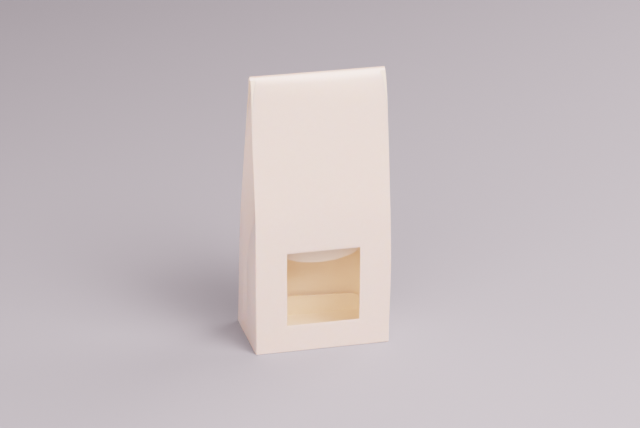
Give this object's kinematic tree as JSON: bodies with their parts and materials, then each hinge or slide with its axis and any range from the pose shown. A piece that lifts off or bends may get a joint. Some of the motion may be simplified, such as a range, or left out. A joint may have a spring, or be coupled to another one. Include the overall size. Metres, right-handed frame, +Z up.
{
  "type": "gift pouch",
  "caption": "Upright gift pouch folded from one sheet of pearly white board: rectangular window low in the front, gusseted sides, a pinched top ridge and a closing flap that hangs inside",
  "frame": {"origin": "centre of the base's rectangle, on the surface the pouch stands on", "axes": "+Z up, the front with the window faces -Y, +X to the right of someone facing the window"},
  "size_m": [0.1, 0.0636, 0.212],
  "materials": {
    "board": "satin"
  },
  "bodies": {
    "root": {"carton": "board"}
  },
  "joints": []
}
